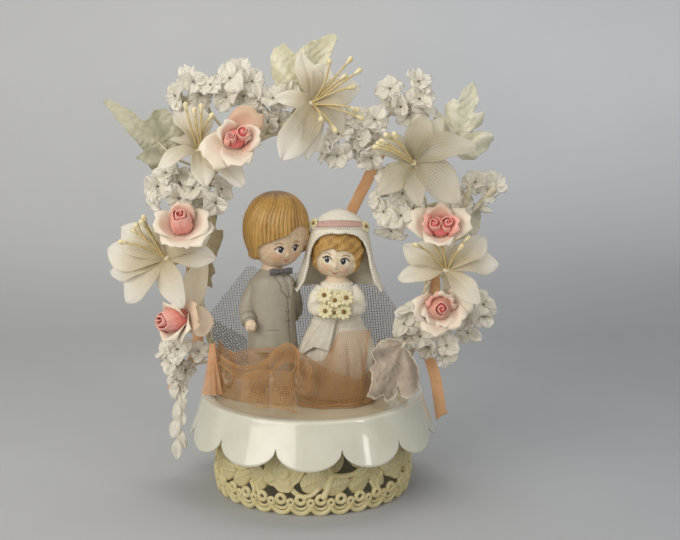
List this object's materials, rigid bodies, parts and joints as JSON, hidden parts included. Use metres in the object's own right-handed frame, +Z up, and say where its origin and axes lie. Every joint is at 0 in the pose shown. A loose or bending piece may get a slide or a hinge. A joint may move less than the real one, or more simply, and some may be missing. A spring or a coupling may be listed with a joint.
{
  "type": "wedding cake topper",
  "caption": "Wedding cake topper: a bisque bride and groom under an arch of artificial flowers, on a scalloped plate over a pierced ring base.",
  "frame": {"origin": "on the table, under the middle of the ring base", "axes": "+Z up from the table to the top of the arch, -Y towards the viewer of the couple's faces, +X to that viewer's right"},
  "size_m": [0.1893, 0.118, 0.2118],
  "materials": {
    "ivory_plastic": "waxy ivory moulded plastic",
    "white_plastic": "glossy white moulded plastic",
    "floral_tape": "cream floral tape wound on wire",
    "clear_glue": "set clear glue",
    "grey_coat": "painted grey bisque",
    "dark_tie": "painted dark grey bisque",
    "skin": "painted skin-tone bisque",
    "golden_hair": "painted golden bisque",
    "white_bisque": "white bisque",
    "cream_flowers": "painted cream bisque",
    "ivory_petal": "stiffened ivory organza",
    "gold_stamen": "pearl-dipped gold thread",
    "cream_satin": "stiffened cream satin",
    "coral_satin": "rolled coral satin ribbon",
    "white_satin": "pressed white satin",
    "white_net": "stiff white net",
    "peach_tulle": "soft peach tulle",
    "peach_satin": "peach satin ribbon"
  },
  "bodies": {
    "root": {"base_filigree": "ivory_plastic", "scalloped_plate": "white_plastic", "groom_body": "grey_coat", "groom_head": "skin", "groom_hair": "golden_hair", "groom_bow_tie": "dark_tie", "bride_gown": "white_bisque", "bride_head": "skin", "bride_hair": "golden_hair", "bride_veil": "white_bisque", "bride_bouquet": "cream_flowers", "arch_wire": "floral_tape", "arch_glue_left": "clear_glue", "arch_glue_right": "clear_glue", "rosebud_1_heart": "coral_satin", "rosebud_1_cup": "cream_satin", "rosebud_2_heart": "coral_satin", "rosebud_2_cup": "cream_satin", "rosebud_3_heart": "coral_satin", "rosebud_3_cup": "cream_satin", "rosebud_4_heart": "coral_satin", "rosebud_4_cup": "cream_satin", "rosebud_5_heart": "coral_satin", "rosebud_5_cup": "cream_satin", "lily_1_stamens": "gold_stamen", "lily_1_petals": "ivory_petal", "lily_2_stamens": "gold_stamen", "lily_2_petals": "ivory_petal", "lily_3_stamens": "gold_stamen", "lily_3_petals": "ivory_petal", "lily_4_stamens": "gold_stamen", "lily_4_petals": "ivory_petal", "lily_5_stamens": "gold_stamen", "lily_5_petals": "ivory_petal", "leaf_1": "cream_satin", "leaf_2": "cream_satin", "leaf_3": "cream_satin", "leaf_4": "cream_satin", "leaf_5": "cream_satin", "leaf_6": "cream_satin", "spray_1": "white_satin", "spray_2": "white_satin", "spray_3": "white_satin", "spray_4": "white_satin", "spray_5": "white_satin", "spray_6": "white_satin", "spray_7": "white_satin", "spray_8": "white_satin", "spray_9": "white_satin", "spray_10": "white_satin", "bud_drop": "white_satin", "net_fan": "white_net", "tulle_wrap": "peach_tulle", "tulle_bow": "peach_tulle", "ribbon_swag": "peach_satin", "ribbon_tail_right": "peach_satin", "ribbon_tail_left": "peach_satin"}
  },
  "joints": []
}
